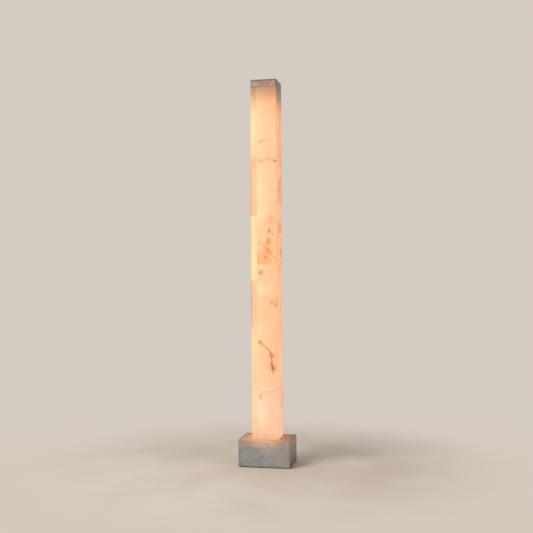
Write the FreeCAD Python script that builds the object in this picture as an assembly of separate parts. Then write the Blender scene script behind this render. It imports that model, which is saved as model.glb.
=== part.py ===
import FreeCAD, Part
import math
import os

# Column floor lamp: alabaster column on a stone base, lit from inside.
# Millimetres, +Z up. The origin is on the floor, under the middle of the base. The front faces -Y.

os.makedirs("parts", exist_ok=True)

# Overall sizes
total_height = 1830.0
base_width = 250.0
base_depth = 170.0
base_top = 130.0
floor_gap = 3.0          # the feet hold the stone this far off the floor
column_side = 125.0
cap_height = 34.0
gasket_thickness = 0.8
edge_radius = 3.0        # rounded upright edges of base and cap
top_ease = 2.0           # chamfer round their top faces
fastener_sides = 12      # small screws, bolts and their holes are drawn with this many flats

# Alabaster slabs
slab_thickness = 28.0
corner_arris = 1.0       # chamfer on the column's outer corners
joint_arris = 0.4        # fine chamfer where two slabs meet on a face
joint_heights = {
    "front": [811.0, 957.0],
    "right": [1227.0],
    "back": [690.0],
    "left": [882.0, 1186.0],
}
piece_names = {2: ["lower", "upper"], 3: ["lower", "middle", "upper"]}

# Base: pocket for the driver, closed by a thick plate
pocket_width = 160.0
pocket_depth = 92.0
pocket_corner = 12.0
pocket_ceiling = 84.0
plate_width = 206.0
plate_depth = 132.0
plate_corner = 6.0
plate_thickness = 8.0
plate_bottom = 4.5
plate_gap = 0.4          # play round the plate in its recess
plate_screw_x = 94.0
plate_screw_y = 57.0
plate_screw_length = 24.0
foot_x = 112.0
foot_y = 72.0
foot_radius = 10.0
foot_sides = 24

# Cord inlet in the back wall
inlet_height = 32.0
gland_flange_radius = 9.5
gland_flange_thickness = 3.0
gland_barrel_radius = 6.2
gland_bore_radius = 3.8
gland_length = 21.0
gland_web = 7.0          # stone left between flange recess and nut recess
gland_nut_flats = 17.0
gland_nut_thickness = 5.0
inner_recess_radius = 15.0

# Column fixing
passage_radius = 10.0
shoe_side = 68.4
shoe_height = 22.0
shoe_bolt_offset = 24.0
bolt_radius = 4.0
bolt_grip = 16.0         # length of bolt in the shoe
washer_radius = 8.0
washer_thickness = 1.6

# Light engine
mast_side = 26.0
mast_bore_radius = 4.5
strip_channel_width = 10.6
strip_channel_depth = 1.8
fin_slot_width = 1.2
fin_slot_depth = 1.6
screw_port_radius = 1.5
screw_port_offset = 9.3
dark_end = 70.0          # height above the light engine, under the cap
foot_plate_side = 62.0
foot_plate_thickness = 5.0
socket_side = 34.0
socket_height = 12.0
socket_play = 0.15
foot_screw_offset = 24.0
strip_width = 10.0
strip_board_thickness = 1.4
glow_line_width = 3.2    # unbroken phosphor line down the middle of each strip
glow_line_height = 0.8
glow_line_inset = 8.0
board_thickness = 1.6
tray_side = 67.6
tray_height = 12.0
tray_sheet = 1.5

# Driver and terminals, on the base plate
driver_length = 110.0
driver_width = 40.0
driver_height = 28.0
driver_y = -24.0
driver_ear = 10.0
driver_ear_thickness = 2.0
terminal_x = 29.0
terminal_y = 22.0
terminal_width = 22.0
terminal_length = 32.0
terminal_height = 17.0
earth_x = -34.0
earth_y = 26.0
lead_radius = 2.3
thin_lead_radius = 1.8
lead_sides = 6
port_depth = 6.0         # how far the leads enter the driver and the terminal block

# Cap
spigot_side = 66.4
spigot_height = 12.0
spigot_lead_in = 2.5
spigot_screw_offset = 24.0
gasket_outer = 121.0
gasket_inner = 72.0

# Worked out from the above
plate_top = plate_bottom + plate_thickness
column_top = total_height - cap_height - gasket_thickness
cap_bottom = total_height - cap_height
half_column = column_side / 2.0
well_half = half_column - slab_thickness
back_face = base_depth / 2.0
shoe_top = base_top + shoe_height
mast_bottom = shoe_top + foot_plate_thickness
mast_top = cap_bottom - dark_end - tray_sheet - board_thickness
strip_bottom = mast_bottom + socket_height + 3.0
lead_height = plate_top + 15.0

Z = FreeCAD.Vector(0, 0, 1)
sides = {"front": 0.0, "right": 90.0, "back": 180.0, "left": 270.0}


def vec(x, y, z):
    return FreeCAD.Vector(x, y, z)


def block(x0, x1, y0, y1, z0, z1):
    return Part.makeBox(x1 - x0, y1 - y0, z1 - z0, vec(x0, y0, z0))


def centred_block(width, depth, z0, z1, x=0.0, y=0.0):
    return block(x - width / 2, x + width / 2, y - depth / 2, y + depth / 2, z0, z1)


def rod(radius, z0, z1, x=0.0, y=0.0):
    return Part.makeCylinder(radius, z1 - z0, vec(x, y, z0))


def regular(radius, sides):
    """Corners of a regular outline, by the radius they lie on."""
    angles = [2 * math.pi * i / sides for i in range(sides)]
    return [(radius * math.cos(a), radius * math.sin(a)) for a in angles]


def hexagon(flats):
    """Hexagon outline by its width across flats."""
    return regular(flats / math.sqrt(3), 6)


def rod_along_y(radius, y0, y1, x, z):
    return Part.makeCylinder(radius, y1 - y0, vec(x, y0, z), vec(0, 1, 0))


def face_of(points):
    """Flat face inside a closed outline."""
    return Part.Face(Part.makePolygon(points + [points[0]]))


def turned(profile, x=0.0, y=0.0):
    """Solid of revolution about a vertical axis, from (radius, height) points."""
    face = face_of([vec(r, 0, z) for r, z in profile])
    solid = face.revolve(vec(0, 0, 0), Z, 360)
    solid.translate(vec(x, y, 0))
    return solid


def prism(outline, z0, z1):
    """Upright prism on an (x, y) outline."""
    return face_of([vec(x, y, z0) for x, y in outline]).extrude(vec(0, 0, z1 - z0))


def faceted(rings, x, y, sides=fastener_sides):
    """Upright solid with flat sides, on (radius, height) rings."""
    loops = [[vec(x + a, y + b, z) for a, b in regular(r, sides)] for r, z in rings]
    faces = [face_of(loops[0]), face_of(loops[-1])]
    for low, high in zip(loops, loops[1:]):
        faces += [face_of([low[i - 1], low[i], high[i], high[i - 1]]) for i in range(sides)]
    shell = Part.makeShell(faces)
    shell.sewShape()
    solid = Part.Solid(shell)
    if solid.Volume < 0:
        solid.reverse()
    return solid.removeSplitter()


def small_hole(radius, z0, z1, x, y):
    return faceted([(radius, z0), (radius, z1)], x, y)


def countersink(radius, head_radius, face_z, far_z, x, y):
    """Tool for a countersunk hole that starts at face_z and runs through to far_z."""
    way = 1 if far_z > face_z else -1
    neck = face_z + way * (head_radius - radius)
    rings = [(head_radius, face_z - way), (head_radius, face_z), (radius, neck), (radius, far_z + way)]
    return faceted(rings, x, y)


def rounded_prism(width, depth, radius, z0, z1):
    solid = centred_block(width, depth, z0, z1)
    upright = [e for e in solid.Edges if is_upright(e)]
    return solid.makeFillet(radius, upright)


def is_upright(edge):
    a, b = [v.Point for v in edge.Vertexes]
    return abs(a.x - b.x) < 1e-6 and abs(a.y - b.y) < 1e-6


def edges_at(shape, z):
    """Edges that lie at one height."""
    return [e for e in shape.Edges if abs(e.BoundBox.ZMin - z) < 1e-6 and abs(e.BoundBox.ZMax - z) < 1e-6]


def around(shape, angle):
    """A copy turned about the column's axis."""
    copy = shape.copy()
    copy.rotate(vec(0, 0, 0), Z, angle)
    return copy


def four_places(x, y):
    return [(x, y), (-x, y), (-x, -y), (x, -y)]


def cut_all(shape, tools):
    for tool in tools:
        shape = shape.cut(tool)
    return shape


def save(name, shape):
    shape = shape.removeSplitter() if len(shape.Solids) == 1 else shape
    shape.exportStep("parts/" + name + ".step")
    print(name, len(shape.Solids), "solid(s)", round(shape.Volume / 1000.0, 2), "cm3", shape.isValid())


def save_group(name, shapes):
    save(name, Part.makeCompound(shapes))


# Stone base and cap

def eased_stone(width, depth, z0, z1, lower_ease):
    """Stone block with rounded upright edges, a chamfer round the top and a finer one underneath."""
    stone = rounded_prism(width, depth, edge_radius, z0, z1)
    stone = stone.makeChamfer(top_ease, edges_at(stone, z1))
    return stone.makeChamfer(lower_ease, edges_at(stone, z0))


def base_block():
    stone = eased_stone(base_width, base_depth, floor_gap, base_top, 1.5)
    recess = rounded_prism(
        plate_width + 2 * plate_gap, plate_depth + 2 * plate_gap, plate_corner, floor_gap - 1, plate_top
    )
    pocket = rounded_prism(pocket_width, pocket_depth, pocket_corner, plate_top - 1, pocket_ceiling)
    passage = rod(passage_radius, pocket_ceiling - 1, base_top + 1)
    bolt_holes = [
        small_hole(bolt_radius + 0.5, pocket_ceiling - 1, base_top + 1, x, y)
        for x, y in four_places(shoe_bolt_offset, shoe_bolt_offset)
    ]
    insert_holes = [
        small_hole(2.1, plate_top - 1, plate_bottom + plate_screw_length + 2, x, y)
        for x, y in four_places(plate_screw_x, plate_screw_y)
    ]
    flange_recess = rod_along_y(
        gland_flange_radius + 0.3, back_face - gland_flange_thickness, back_face + 1, 0, inlet_height
    )
    inlet = rod_along_y(gland_barrel_radius + 0.1, 0, back_face + 1, 0, inlet_height)
    nut_face = back_face - gland_flange_thickness - gland_web
    nut_recess = rod_along_y(inner_recess_radius, 0, nut_face, 0, inlet_height)
    return cut_all(
        stone, [recess, pocket, passage, flange_recess, inlet, nut_recess] + bolt_holes + insert_holes
    )


def base_plate():
    plate = rounded_prism(plate_width, plate_depth, plate_corner - plate_gap, plate_bottom, plate_top)
    seats = [countersink(2.3, 4.9, plate_bottom, plate_top, x, y)
             for x, y in four_places(plate_screw_x, plate_screw_y)]
    taps = [small_hole(2.1, plate_top - 6, plate_top + 1, x, driver_y) for x in driver_screw_places()]
    taps += [small_hole(1.6, plate_top - 5, plate_top + 1, terminal_x, y) for y in terminal_screw_places()]
    taps.append(small_hole(2.1, plate_top - 6, plate_top + 1, earth_x, earth_y))
    return cut_all(plate, seats + taps)


def countersunk_screw(x, y, head_z, length, radius, head_radius, direction):
    """Countersunk screw whose flat head lies at head_z and whose shank runs along direction (1 or -1)."""
    cone = head_radius - radius
    tip = head_z + direction * length
    screw = faceted([(head_radius, head_z), (radius, head_z + direction * cone), (radius, tip)], x, y)
    socket = prism(hexagon(head_radius * 0.8), head_z - direction * 0.5, head_z + direction * cone * 0.7)
    socket.translate(vec(x, y, 0))
    return screw.cut(socket)


def foot(x, y):
    """Rubber pad, with a softened lower rim."""
    return faceted([(foot_radius - 1.0, 0), (foot_radius, 1.0), (foot_radius, floor_gap)], x, y, foot_sides)


def cable_gland():
    """Flanged bush: the flange sits flush in the back face, the barrel runs in to the nut."""
    neck = -gland_flange_thickness
    profile = [(gland_bore_radius + 0.8, 0), (gland_flange_radius, 0), (gland_flange_radius, neck),
               (gland_barrel_radius, neck), (gland_barrel_radius, -gland_length),
               (gland_bore_radius, -gland_length), (gland_bore_radius, -0.8)]
    bush = turned(profile)
    bush.rotate(vec(0, 0, 0), vec(1, 0, 0), -90)
    bush.translate(vec(0, back_face, inlet_height))
    return bush


def gland_nut():
    nut_face = back_face - gland_flange_thickness - gland_web
    nut = prism(hexagon(gland_nut_flats), 0, gland_nut_thickness)
    hole_radius = (gland_barrel_radius + 0.1) / math.cos(math.pi / fastener_sides)
    nut = nut.cut(small_hole(hole_radius, -1, gland_nut_thickness + 1, 0, 0))
    nut.rotate(vec(0, 0, 0), vec(1, 0, 0), -90)
    nut.translate(vec(0, nut_face - gland_nut_thickness, inlet_height))
    return nut


# Driver, terminals and leads

def driver_screw_places():
    offset = driver_length / 2 + driver_ear / 2
    return [offset, -offset]


def terminal_screw_places():
    return [terminal_y - terminal_length / 6, terminal_y + terminal_length / 6]


def led_driver():
    """Driver case: extruded shell with a ribbed lid and a slotted ear at each end."""
    half = driver_length / 2
    top = plate_top + driver_height
    case = block(-half, half, driver_y - driver_width / 2, driver_y + driver_width / 2, plate_top, top)
    upper = [e for e in case.Edges if e.BoundBox.XLength > 1 and e.BoundBox.ZMin > plate_top]
    case = case.makeFillet(2.0, upper)
    for i in range(7):
        x = (i - 3) * 11.0
        groove = centred_block(3.0, driver_width - 10, top - 0.8, top + 1, x, driver_y)
        case = case.cut(groove)
    reach = driver_length + 2 * driver_ear
    ears = centred_block(reach, driver_width * 0.6, plate_top, plate_top + driver_ear_thickness, 0, driver_y)
    ears = ears.makeChamfer(3.0, [e for e in ears.Edges if is_upright(e)])
    driver = case.fuse(ears)
    for x in driver_screw_places():
        driver = driver.cut(small_hole(2.2, plate_top - 1, plate_top + 4, x, driver_y))
    return cut_all(driver, [wire_port(side * half, side, driver_y, lead_radius) for side in (1, -1)])


def wire_port(face_x, side, y, radius):
    """Tool for a square wire entry in the face at face_x, which looks along side (1 or -1)."""
    half = radius + 0.1
    x0, x1 = sorted([face_x - side * port_depth, face_x + side])
    return block(x0, x1, y - half, y + half, lead_height - half, lead_height + half)


def pan_screw(x, y, seat_z, radius, head_radius, length):
    """Pan head screw that stands on seat_z and runs down."""
    return faceted([(radius, seat_z - length), (radius, seat_z), (head_radius, seat_z),
                    (head_radius * 0.75, seat_z + head_radius * 0.7)], x, y)


def terminal_block():
    """Three-pole terminal block with wire ports on both sides and screw wells on top."""
    top = plate_top + terminal_height
    body = centred_block(terminal_width, terminal_length, plate_top, top, terminal_x, terminal_y)
    body = body.makeChamfer(1.5, edges_at(body, top))
    pole = terminal_length / 3
    for i in range(3):
        y = terminal_y + (i - 1) * pole
        for side in (1, -1):
            port = wire_port(terminal_x + side * terminal_width / 2, side, y, thin_lead_radius)
            well = centred_block(3.6, 3.6, lead_height, top + 1, terminal_x + side * 7.5, y)
            body = body.cut(port).cut(well)
    for y in terminal_screw_places():
        body = body.cut(small_hole(1.7, plate_top - 1, top + 1, terminal_x, y))
        body = body.cut(small_hole(3.2, plate_top + 8, top + 1, terminal_x, y))
    return body


def earth_terminal():
    """Brass stud with its washer and nut."""
    base = plate_top
    stud = faceted([(2.0, base - 5.5), (2.0, base + 14)], earth_x, earth_y)
    washer = faceted([(4.5, base), (4.5, base + 0.8)], earth_x, earth_y)
    nut = prism(hexagon(7.0), base + 0.8, base + 4.0)
    nut.translate(vec(earth_x, earth_y, 0))
    hole = small_hole(2.1, base - 1, base + 5, earth_x, earth_y)
    return [stud, washer.cut(hole), nut.cut(hole)]


def lead_path(points):
    """Straight runs joined by tangent arcs, each as large as its two runs allow."""
    edges = []
    start = points[0]
    for before, corner, after in zip(points, points[1:], points[2:]):
        arrive = (corner - before).normalize()
        leave = (after - corner).normalize()
        turn = arrive.getAngle(leave)
        reach = 0.45 * min((corner - before).Length, (after - corner).Length)
        radius = reach / math.tan(turn / 2)
        first = corner - arrive * reach
        last = corner + leave * reach
        middle = corner + (leave - arrive).normalize() * (radius / math.cos(turn / 2) - radius)
        edges.append(Part.LineSegment(start, first).toShape())
        edges.append(Part.Arc(first, middle, last).toShape())
        print("  arc radius", round(radius, 1))
        start = last
    edges.append(Part.LineSegment(start, points[-1]).toShape())
    return Part.Wire(edges)


def lead(points, radius):
    """Lead along its path; the first run is level, along X."""
    points = [vec(*p) for p in points]
    path = lead_path(points)
    start = points[0]
    ring = [vec(start.x, start.y + a, start.z + b) for a, b in regular(radius, lead_sides)]
    solid = path.makePipeShell([Part.makePolygon(ring + [ring[0]])], True, False)
    section = lead_sides / 2 * radius ** 2 * math.sin(2 * math.pi / lead_sides)
    print("  volume share", round(solid.Volume / (section * path.Length), 3))
    return solid


def input_lead():
    """From the terminal block round to the driver's right-hand end."""
    start_x = terminal_x + terminal_width / 2 - port_depth
    end_x = driver_length / 2 - port_depth
    z = lead_height
    route = [(start_x, terminal_y, z), (start_x + 22, terminal_y, z), (72, 6, z + 3),
             (71, driver_y, z), (end_x, driver_y, z)]
    return lead(route, thin_lead_radius)


def output_lead():
    """From the driver's left-hand end, up through the deck and the mast's bore."""
    start_x = -driver_length / 2 + port_depth
    z = lead_height
    route = [(start_x, driver_y, z), (-70, driver_y, z), (-69, -14, z + 26), (-40, -4, z + 42),
             (0, 0, pocket_ceiling - 8), (0, 0, mast_top)]
    return lead(route, lead_radius)


# Column fixing

def column_shoe():
    """Steel block inside the foot of the slabs."""
    shoe = centred_block(shoe_side, shoe_side, base_top, shoe_top)
    shoe = shoe.makeChamfer(1.5, edges_at(shoe, shoe_top))
    holes = [rod(passage_radius, base_top - 1, shoe_top + 1)]
    holes += [small_hole(bolt_radius + 0.1, base_top - 1, base_top + bolt_grip + 2, x, y)
              for x, y in four_places(shoe_bolt_offset, shoe_bolt_offset)]
    holes += [small_hole(2.6, shoe_top - 13, shoe_top + 1, x, y) for x, y in foot_screw_places()]
    return cut_all(shoe, holes)


def shoe_bolt(x, y):
    """Socket head bolt, up through the deck into the shoe."""
    seat = pocket_ceiling - washer_thickness
    tip = base_top + bolt_grip
    bolt = faceted([(6.5, seat - 8), (6.5, seat), (bolt_radius, seat), (bolt_radius, tip - 1),
                    (bolt_radius - 1, tip)], x, y)
    socket = prism(hexagon(6.0), seat - 9, seat - 4)
    socket.translate(vec(x, y, 0))
    return bolt.cut(socket)


def shoe_washer(x, y):
    low = pocket_ceiling - washer_thickness
    disc = faceted([(washer_radius, low), (washer_radius, pocket_ceiling)], x, y)
    return disc.cut(small_hole(bolt_radius + 0.3, low - 1, pocket_ceiling + 1, x, y))


# Alabaster slabs: four alike in plan, each butting on its neighbour like the blades of a pinwheel

def slab_outline():
    """Plan of the front slab: its left end butts on the left slab, its right end shows on the right face."""
    left = -well_half
    right = half_column
    outer = -half_column
    inner = -well_half
    return [(left + joint_arris, outer), (right - corner_arris, outer), (right, outer + corner_arris),
            (right, inner - joint_arris), (right - joint_arris, inner), (left, inner),
            (left, outer + joint_arris)]


def slabs():
    for side, angle in sides.items():
        levels = [base_top] + joint_heights[side] + [column_top]
        names = piece_names[len(levels) - 1]
        for name, low, high in zip(names, levels, levels[1:]):
            save(side + "_slab_" + name, around(prism(slab_outline(), low, high), angle))


# Light engine

def mast_side_points():
    """One side of the mast's outline, from corner to corner: fin slots, strip channel, fin slots."""
    half = mast_side / 2
    channel = strip_channel_width / 2
    land = (half - channel) / 2 + channel
    slot = fin_slot_width / 2
    points = [(-half + 0.6, -half)]
    points += notch(-land - slot, -land + slot, -half, fin_slot_depth)
    points += [(-channel, -half), (-channel, -half + strip_channel_depth)]
    points += [(channel, -half + strip_channel_depth), (channel, -half)]
    points += notch(land - slot, land + slot, -half, fin_slot_depth)
    points += [(half - 0.6, -half)]
    return points


def notch(x0, x1, y, depth):
    return [(x0, y), (x0, y + depth), (x1, y + depth), (x1, y)]


def light_mast():
    """Slotted extrusion: four strip channels, finned corners, central bore and four screw ports."""
    outline = []
    for angle in sides.values():
        a = math.radians(angle)
        outline += [(x * math.cos(a) - y * math.sin(a), x * math.sin(a) + y * math.cos(a))
                    for x, y in mast_side_points()]
    mast = prism(outline, mast_bottom, mast_top)
    bores = [rod(mast_bore_radius, mast_bottom - 1, mast_top + 1)]
    return cut_all(mast, bores + port_holes(screw_port_radius, mast_bottom - 1, mast_top + 1))


def foot_screw_places():
    d = foot_screw_offset
    return [(d, 0), (0, d), (-d, 0), (0, -d)]


def mast_foot():
    """Plate with a square socket that the mast stands in."""
    plate = centred_block(foot_plate_side, foot_plate_side, shoe_top, mast_bottom)
    plate = plate.makeFillet(5.0, [e for e in plate.Edges if is_upright(e)])
    collar = centred_block(socket_side, socket_side, shoe_top, mast_bottom + socket_height)
    collar = collar.makeChamfer(1.5, [e for e in collar.Edges if is_upright(e)])
    inside = mast_side + 2 * socket_play
    holes = [centred_block(inside, inside, mast_bottom, mast_bottom + socket_height + 1)]
    holes.append(rod(mast_bore_radius, shoe_top - 1, mast_bottom + 1))
    holes += [countersink(2.7, 5.1, mast_bottom, shoe_top, x, y) for x, y in foot_screw_places()]
    return cut_all(plate.fuse(collar), holes)


def led_strip():
    """Front strip: board in the mast's front channel, with an unbroken phosphor line down its middle."""
    seat = -mast_side / 2 + strip_channel_depth
    face = seat - strip_board_thickness
    strip = block(-strip_width / 2, strip_width / 2, face, seat, strip_bottom, mast_top)
    line = block(-glow_line_width / 2, glow_line_width / 2, face - glow_line_height, face,
                 strip_bottom + glow_line_inset, mast_top - glow_line_inset)
    outer = [e for e in line.Edges if is_upright(e) and e.BoundBox.YMax < face]
    return strip.fuse(line.makeChamfer(glow_line_height / 2, outer))


def junction_board():
    """Square circuit board on the mast's top end, over the ends of the four strips."""
    board = centred_block(mast_side, mast_side, mast_top, mast_top + board_thickness)
    board = board.makeChamfer(1.5, [e for e in board.Edges if is_upright(e)])
    return cut_all(board, port_holes(screw_port_radius + 0.2, mast_top - 1, mast_top + board_thickness + 1))


def port_holes(radius, z0, z1):
    return [small_hole(radius, z0, z1, x, y) for x, y in four_places(screw_port_offset, screw_port_offset)]


def top_baffle():
    """Open sheet tray, flange up, that stops the light and keeps the mast central."""
    low = mast_top + board_thickness
    tray = rounded_prism(tray_side, tray_side, 4.0, low, low + tray_height)
    rim = [f for f in tray.Faces if f.BoundBox.ZLength < 1e-6 and f.BoundBox.ZMin > low + 1]
    tray = tray.makeThickness(rim, -tray_sheet, 1e-3)
    return cut_all(tray, port_holes(screw_port_radius + 0.2, low - 1, low + tray_sheet + 1))


# Cap

def top_cap():
    cap = eased_stone(column_side, column_side, cap_bottom, total_height, 0.6)
    inserts = [small_hole(2.1, cap_bottom - 1, cap_bottom + 16, x, y)
               for x, y in four_places(spigot_screw_offset, spigot_screw_offset)]
    return cut_all(cap, inserts)


def cap_spigot():
    """Locating plate under the cap, with a lead-in all round."""
    low = cap_bottom - spigot_height
    plate = rounded_prism(spigot_side, spigot_side, 5.0, low, cap_bottom)
    plate = plate.makeChamfer(spigot_lead_in, edges_at(plate, low))
    return cut_all(plate, [countersink(2.3, 4.9, low, cap_bottom, x, y)
                           for x, y in four_places(spigot_screw_offset, spigot_screw_offset)])


def cap_gasket():
    ring = centred_block(gasket_outer, gasket_outer, column_top, cap_bottom)
    return ring.cut(centred_block(gasket_inner, gasket_inner, column_top - 1, cap_bottom + 1))


# Base group
save("base_block", base_block())
save("base_plate", base_plate())
save_group("base_plate_screws", [
    countersunk_screw(x, y, plate_bottom, plate_screw_length, 2.0, 4.6, 1)
    for x, y in four_places(plate_screw_x, plate_screw_y)
])
for depth_name, y_sign in (("front", -1), ("back", 1)):
    for width_name, x_sign in (("left", -1), ("right", 1)):
        save("foot_" + depth_name + "_" + width_name, foot(x_sign * foot_x, y_sign * foot_y))
save("cable_gland", cable_gland())
save("gland_nut", gland_nut())
save("led_driver", led_driver())
save_group("driver_screws", [
    pan_screw(x, driver_y, plate_top + driver_ear_thickness, 2.0, 3.6, 7.0) for x in driver_screw_places()
])
save("terminal_block", terminal_block())
save_group("terminal_screws", [
    pan_screw(terminal_x, y, plate_top + 8, 1.5, 2.8, 12.0) for y in terminal_screw_places()
])
save_group("earth_terminal", earth_terminal())
save("input_lead", input_lead())
save("output_lead", output_lead())

# Column
save("column_shoe", column_shoe())
bolt_places = four_places(shoe_bolt_offset, shoe_bolt_offset)
save_group("shoe_bolts", [shoe_bolt(x, y) for x, y in bolt_places])
save_group("shoe_washers", [shoe_washer(x, y) for x, y in bolt_places])
slabs()

# Light engine
save("light_mast", light_mast())
save("mast_foot", mast_foot())
save_group("mast_foot_screws", [
    countersunk_screw(x, y, mast_bottom - 0.1, 16.0, 2.5, 4.9, -1) for x, y in foot_screw_places()
])
for side, angle in sides.items():
    save("led_strip_" + side, around(led_strip(), angle))
save("junction_board", junction_board())
save("top_baffle", top_baffle())
save_group("baffle_screws", [
    pan_screw(x, y, mast_top + board_thickness + tray_sheet, 1.4, 2.8, 14.0)
    for x, y in four_places(screw_port_offset, screw_port_offset)
])

# Cap group
save("top_cap", top_cap())
save("cap_spigot", cap_spigot())
save_group("spigot_screws", [
    countersunk_screw(x, y, cap_bottom - spigot_height, 26.0, 2.0, 4.6, 1)
    for x, y in four_places(spigot_screw_offset, spigot_screw_offset)
])
save("cap_gasket", cap_gasket())
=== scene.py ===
import bpy
import bmesh
import math
from mathutils import Matrix, Vector


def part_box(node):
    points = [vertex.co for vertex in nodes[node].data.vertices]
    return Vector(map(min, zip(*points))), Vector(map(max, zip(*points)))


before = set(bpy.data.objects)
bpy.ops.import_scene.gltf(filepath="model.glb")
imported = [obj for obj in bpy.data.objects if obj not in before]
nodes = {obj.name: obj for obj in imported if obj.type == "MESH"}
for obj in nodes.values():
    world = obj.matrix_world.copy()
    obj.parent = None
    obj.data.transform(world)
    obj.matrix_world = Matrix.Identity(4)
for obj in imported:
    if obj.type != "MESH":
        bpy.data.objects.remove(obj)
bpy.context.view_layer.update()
mm = 0.001
print("frame loaded,", len(nodes), "nodes")


# Shader maths: a Wire is one output of a node, and arithmetic on it adds Math nodes

class Wire:
    def __init__(self, finish, socket):
        self.finish = finish
        self.socket = socket

    def __add__(self, other):
        return self.finish.maths("ADD", self, other)

    __radd__ = __add__

    def __sub__(self, other):
        return self.finish.maths("SUBTRACT", self, other)

    def __rsub__(self, other):
        return self.finish.maths("SUBTRACT", other, self)

    def __mul__(self, other):
        return self.finish.maths("MULTIPLY", self, other)

    __rmul__ = __mul__

    def __truediv__(self, other):
        return self.finish.maths("DIVIDE", self, other)

    def __pow__(self, other):
        return self.finish.maths("POWER", self, other)

    def __abs__(self):
        return self.finish.maths("ABSOLUTE", self)


class Finish:                                # one material, or the world, and its nodes
    def __init__(self, name, owner=None):
        self.material = owner or bpy.data.materials.new(name)
        self.material.use_nodes = True
        self.tree = self.material.node_tree
        self.tree.nodes.clear()

    def add(self, kind, settings=None, sockets=None, out=0):
        node = self.tree.nodes.new(kind)
        for key, value in (settings or {}).items():
            if key == "stops":
                setStops(node.color_ramp, value)
            elif key == "curve":
                setCurve(node.mapping, value)
            else:
                setattr(node, key, value)
        for key, value in (sockets or {}).items():
            if isinstance(value, Wire):
                self.tree.links.new(value.socket, node.inputs[key])
            else:
                node.inputs[key].default_value = value
        return Wire(self, node.outputs[out])

    def maths(self, operation, a, b=0.0):
        return self.add("ShaderNodeMath", {"operation": operation}, {0: a, 1: b})

    def highest(self, first, *others):
        for other in others:
            first = self.maths("MAXIMUM", first, other)
        return first

    def vector(self, operation, sockets, out=0):
        return self.add("ShaderNodeVectorMath", {"operation": operation}, sockets, out)

    def axes(self, where):                   # a place's x, y and z
        node = self.add("ShaderNodeSeparateXYZ", {}, {0: where}).socket.node
        return [Wire(self, output) for output in node.outputs]

    def place(self, turn=0.0, scale=(1, 1, 1), shift=(0, 0, 0)):
        where = self.add("ShaderNodeTexCoord", out=3)
        settings = {"vector_type": "POINT"}
        sockets = {0: where, 1: shift, 2: (0, 0, turn), 3: scale}
        return self.add("ShaderNodeMapping", settings, sockets)

    def noise(self, where, scale, detail=3.0, rough=0.5, twist=0.0, out=0):
        sockets = {"Vector": where, "Scale": scale, "Detail": detail, "Roughness": rough, "Distortion": twist}
        return self.add("ShaderNodeTexNoise", {}, sockets, out)

    def patterns(self, kinds, turn=0.0, shift=(0, 0, 0)):     # noises by name
        found = {}
        for kind, (upright, *noise) in kinds.items():
            found[kind] = self.noise(self.place(turn, (1.0, 1.0, upright), shift), *noise)
        return found

    def stray(self, where, noise, reach, start):              # start, moved by up to half of reach
        drift = self.noise(where, *noise, out=1)
        drift = self.vector("SUBTRACT", {0: drift, 1: (0.5, 0.5, 0.5)})
        return self.vector("MULTIPLY_ADD", {0: drift, 1: (reach,) * 3, 2: start})

    def fit(self, value, low, high, smooth=True):
        settings = {"interpolation_type": "SMOOTHSTEP" if smooth else "LINEAR"}
        return self.add("ShaderNodeMapRange", settings, {0: value, 1: low, 2: high})

    def blend(self, factor, a, b, mode="MIX"):
        settings = {"data_type": "RGBA", "blend_type": mode, "clamp_factor": True}
        return self.add("ShaderNodeMix", settings, {0: factor, 6: a, 7: b}, 2)

    def bump(self, height, distance, strength=1.0):
        return self.add("ShaderNodeBump", {}, {"Height": height, "Distance": distance, "Strength": strength})

    def finish(self, sockets):
        self.output(self.add("ShaderNodeBsdfPrincipled", {}, sockets))
        return self.material

    def output(self, shader, kind="ShaderNodeOutputMaterial"):
        end = self.tree.nodes.new(kind)
        self.tree.links.new(shader.socket, end.inputs["Surface"])


def setStops(ramp, stops):
    while len(ramp.elements) > 1:
        ramp.elements.remove(ramp.elements[-1])
    ramp.elements[0].position, ramp.elements[0].color = stops[0]
    for position, colour in stops[1:]:
        ramp.elements.new(position).color = colour


def setCurve(mapping, points):
    curve = mapping.curves[0]
    for point, place in zip(curve.points, (points[0], points[-1])):
        point.location = place
    for place in points[1:-1]:
        curve.points.new(*place)
    mapping.update()


def tone(red, green, blue):                  # screen colour, 0 to 255, as a shader takes it
    parts = [value / 255 for value in (red, green, blue)]
    return tuple(p / 12.92 if p <= 0.04045 else ((p + 0.055) / 1.055) ** 2.4 for p in parts) + (1.0,)


# Camera, floor and light

view = {
    "place": (0.851, -4.132, 0.951),
    "heading": 11.66,
    "tilt": 89.94,
    "roll": -0.32,
    "lens": 59.5,
    "sensor": 36.0,
}


def makeCamera():
    data = bpy.data.cameras.new("camera")
    data.lens = view["lens"]
    data.sensor_width = view["sensor"]
    camera = bpy.data.objects.new("camera", data)
    bpy.context.scene.collection.objects.link(camera)
    heading = Matrix.Rotation(math.radians(view["heading"]), 4, "Z")
    tilt = Matrix.Rotation(math.radians(view["tilt"]), 4, "X")
    roll = Matrix.Rotation(math.radians(view["roll"]), 4, "Z")
    camera.matrix_world = Matrix.Translation(view["place"]) @ heading @ tilt @ roll
    bpy.context.scene.camera = camera


studio = {
    "wall": tone(212, 203, 194),
    "far": tone(214, 201, 188),              # floor colour that the floor fades into
    "meeting": (-0.16, -0.22),               # how steeply one looks down where wall turns to floor
    "ambient": (0.46, 0.445, 0.43, 1.0),
    "floorRadius": 2.6,
    "floorFade": (0.45, 1.25),
    "floorColour": tone(214, 205, 195),
    "floorPatches": tone(205, 194, 183),
    "patchNoise": (2.5, 4.0),                # scale and detail
    "patchEdge": (0.35, 0.65),
}

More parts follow.
